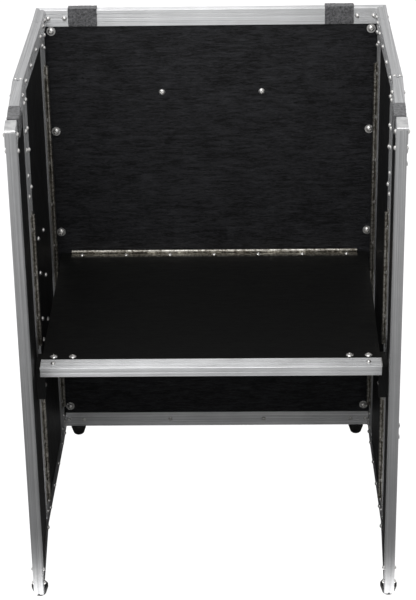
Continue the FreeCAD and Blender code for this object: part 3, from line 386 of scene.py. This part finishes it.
def add_fibres(piece, seed, low_corner, high_corner):
    """Short curled fibres that stand out of the felt, each a thin three-sided hook inside the box."""
    random = Random(seed)
    mesh = piece.data
    build = bmesh.new()
    build.from_mesh(mesh)
    polygons = list(mesh.polygons)
    for polygon in random.choices(polygons, weights=[p.area for p in polygons], k=FIBRES_PER_PAD):
        root = polygon.center.copy()
        out = polygon.normal.copy()
        lean = Vector([random.uniform(-1, 1) for _ in range(3)])
        lean = (lean - out * lean.dot(out)).normalized()
        side = out.cross(lean)
        rings = []
        for step in range(FIBRE_STEPS + 1):
            bend = step / FIBRE_STEPS * random.uniform(0.9, 1.5)
            rise = FIBRE_LENGTH * FIBRE_RISE * math.sin(bend * FIBRE_ARC)
            along = FIBRE_LENGTH * FIBRE_RUN * bend
            middle = root + out * rise + lean * along
            ring = []
            for corner in range(FIBRE_SIDES):
                angle = corner * math.tau / FIBRE_SIDES
                offset = side * math.cos(angle) + out * math.sin(angle)
                ring.append(middle + offset * FIBRE_RADIUS)
            rings.append(ring)
        points = [point for ring in rings for point in ring]
        if not all(a < c < b for point in points for c, a, b in zip(point, low_corner, high_corner)):
            continue
        rings = [[build.verts.new(point) for point in ring] for ring in rings]
        for low, high in zip(rings, rings[1:]):
            for i in range(FIBRE_SIDES):
                j = (i + 1) % FIBRE_SIDES
                build.faces.new((low[i], low[j], high[j], high[i]))
        build.faces.new(rings[0][::-1])
        build.faces.new(rings[-1])
    build.to_mesh(mesh)
    build.free()


def keep_inside(piece, node):
    """Holds the felt to the solid's own box, so that what swings past the pad clears it."""
    low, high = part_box(node)
    for vertex in piece.data.vertices:
        vertex.co = Vector([min(max(c, a), b) for c, a, b in zip(vertex.co, low, high)])


def make_pads():
    """A pile pad in place of each plain CAD one."""
    for seed, (node, body) in enumerate(PAD_NODES.items(), start=11):
        piece = pile_body(node)
        keep_inside(piece, node)
        add_fibres(piece, seed, *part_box(node))
        piece.data.materials.clear()
        piece.data.materials.append(MATERIALS["pile"])
        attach(piece, body)
        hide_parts(node)


# ---------------------------------------------------------------- stage, light, camera

FLOOR_SIZE = 40
# half a millimetre under the feet, so that they don't share its plane
FLOOR_Z = -0.0005
# the levels below run from this far inside the stand's footprint to this far outside it
FLOOR_UNDER, FLOOR_REACH = 0.3, 2.7
# metres from the footprint, and the glow painted on the floor there for the stand to pick up: painted shadow
# under the stand, a dim painted band round it, brighter further out
FLOOR_LEVELS = [
    (0.0, 0.01),
    (0.05, 0.05),
    (0.5, 0.07),
    (0.8, 0.12),
    (1.15, 0.2),
    (1.55, 0.36),
    (2.4, 0.45),
]
# painted pools of light glow on the floor round the front feet: inner and outer radius of each, and its level
FEET_CENTRE = (cad_box[1][0] - 0.02, cad_box[0][1] - 0.01)
POOL_INNER, POOL_OUTER, POOL_LEVEL = 0.03, 0.10, 1.7

WORLD_STRENGTH = 0.8
# height of the direction above the horizon, as a sine, and the share of the strength there
WORLD_STOPS = [(0.0, 0.25), (0.18, 0.45), (0.33, 1.0), (0.62, 1.0), (0.8, 0.3), (1.0, 0.22)]


def ramp_node(tree, factor, stops):
    """A grey ramp through the stops, each a place and a level."""
    ramp = tree.nodes.new("ShaderNodeValToRGB")
    tree.links.new(factor, ramp.inputs["Fac"])
    elements = ramp.color_ramp.elements
    while len(elements) < len(stops):
        elements.new(0.5)
    for element, (where, level) in zip(elements, stops):
        element.position = where
        element.color = rgb(level, level, level)
    return ramp.outputs["Color"]


def painted_floor_light(graph, across, along):
    """The floor's painted glow by distance from the stand's footprint: painted shadow under the stand,
    painted shade near it.
    """
    beside = graph.math("SUBTRACT", graph.math("ABSOLUTE", across), cad_box[1][0])
    beyond = graph.math("SUBTRACT", graph.math("ABSOLUTE", along), cad_box[1][1])
    away = graph.math("MAXIMUM", beside, beyond)
    span = FLOOR_REACH + FLOOR_UNDER
    stops = [((distance + FLOOR_UNDER) / span, level) for distance, level in FLOOR_LEVELS]
    return ramp_node(graph.tree, graph.range(away, -FLOOR_UNDER, FLOOR_REACH, 0.0, 1.0), stops)


def painted_light_pools(graph, across, along):
    """A round painted pool of light glowing at each front foot."""
    from_feet = graph.math("SUBTRACT", graph.math("ABSOLUTE", across), FEET_CENTRE[0])
    before_feet = graph.math("SUBTRACT", along, FEET_CENTRE[1])
    squares = [graph.math("MULTIPLY", value, value) for value in (from_feet, before_feet)]
    distance = graph.math("SQRT", graph.math("ADD", *squares))
    return graph.range(distance, POOL_INNER, POOL_OUTER, POOL_LEVEL, 0.0)


def stage_floor():
    """A pale floor. It is white in view; to the stand it glows with painted light and shade: painted shadow
    under the stand, dimmer painted shade round it and painted pools of light at the front feet.
    """
    bpy.ops.mesh.primitive_plane_add(size=FLOOR_SIZE, location=(0, 0, FLOOR_Z))
    floor = bpy.context.object
    floor.name = "studio_floor"
    graph = Graph("studio_floor")
    mottle = graph.noise(graph.scaled((1, 1, 1)), 2.0, 2.0)
    graph.colour(graph.mix(mottle, rgb(0.2, 0.2, 0.2), rgb(0.22, 0.22, 0.22)))
    graph.set(Roughness=1.0, Specular_IOR_Level=0.0, Emission_Strength=1.0)
    place = graph.axes(graph.place)
    broad = painted_floor_light(graph, place["X"], place["Y"])
    # painted glow that the stand sees: the painted shadow and shade by distance, or the painted pools of
    # light at the feet where brighter
    painted_glow = graph.math("MAXIMUM", broad, painted_light_pools(graph, place["X"], place["Y"]))
    # camera rays see plain white, all other rays see the painted glow
    seen = graph.node("ShaderNodeLightPath").outputs["Is Camera Ray"]
    graph.link(graph.mix(seen, painted_glow, rgb(1, 1, 1)), graph.shader.inputs["Emission Color"])
    floor.data.materials.append(graph.material)


def studio_world():
    """A soft box all round: brightest in a band above the horizon, dim at the zenith."""
    world = bpy.data.worlds.new("studio_world")
    bpy.context.scene.world = world
    world.use_nodes = True
    tree = world.node_tree
    direction = tree.nodes.new("ShaderNodeTexCoord").outputs["Generated"]
    split = tree.nodes.new("ShaderNodeSeparateXYZ")
    tree.links.new(direction, split.inputs[0])
    glow = ramp_node(tree, split.outputs["Z"], WORLD_STOPS)
    background = tree.nodes["Background"]
    tree.links.new(glow, background.inputs["Color"])
    background.inputs["Strength"].default_value = WORLD_STRENGTH


def area_light(name, place, target, size, power):
    """A square soft box, size metres across and power watts, turned to its target."""
    data = bpy.data.lights.new(name, "AREA")
    data.size = size
    data.energy = power
    light = bpy.data.objects.new(name, data)
    light.location = place
    light.rotation_euler = (Vector(target) - Vector(place)).to_track_quat("-Z", "Y").to_euler()
    bpy.context.scene.collection.objects.link(light)


def studio():
    """The floor, the light from all round and two soft boxes."""
    stage_floor()
    studio_world()
    area_light("overhead", (-0.3, -0.6, 2.6), (0.0, -0.05, 0.3), size=1.3, power=17)
    area_light("front_box", (-0.5, -2.6, 2.9), (0.0, 0.0, 0.4), size=1.8, power=22)


# from a fit to the photograph: metres, degrees, and millimetres of lens and sensor
CAMERA_PLACE = (0.06214, -2.82478, 1.78821)
CAMERA_PITCH_DEG, CAMERA_YAW_DEG, CAMERA_ROLL_DEG = 26.51, -1.378, -0.989
CAMERA_LENS = 123.8
SENSOR_WIDTH = 36.0


def camera():
    """The scene's camera, from its place, lens and three angles."""
    pitch, yaw, roll = (math.radians(v) for v in (CAMERA_PITCH_DEG, CAMERA_YAW_DEG, CAMERA_ROLL_DEG))
    forward = Vector((math.sin(yaw) * math.cos(pitch), math.cos(yaw) * math.cos(pitch), -math.sin(pitch)))
    right = Vector((math.cos(yaw), -math.sin(yaw), 0))
    up = right.cross(forward)
    right_rolled = right * math.cos(roll) + up * math.sin(roll)
    up_rolled = up * math.cos(roll) - right * math.sin(roll)
    data = bpy.data.cameras.new("camera")
    data.lens = CAMERA_LENS
    data.sensor_width = SENSOR_WIDTH
    view = bpy.data.objects.new("camera", data)
    axes = Matrix((right_rolled, up_rolled, -forward)).transposed()
    view.matrix_world = Matrix.Translation(CAMERA_PLACE) @ axes.to_4x4()
    bpy.context.scene.collection.objects.link(view)
    bpy.context.scene.camera = view


bpy.context.scene.view_settings.view_transform = "Standard"
camera()
dress_frame()
make_pads()
studio()
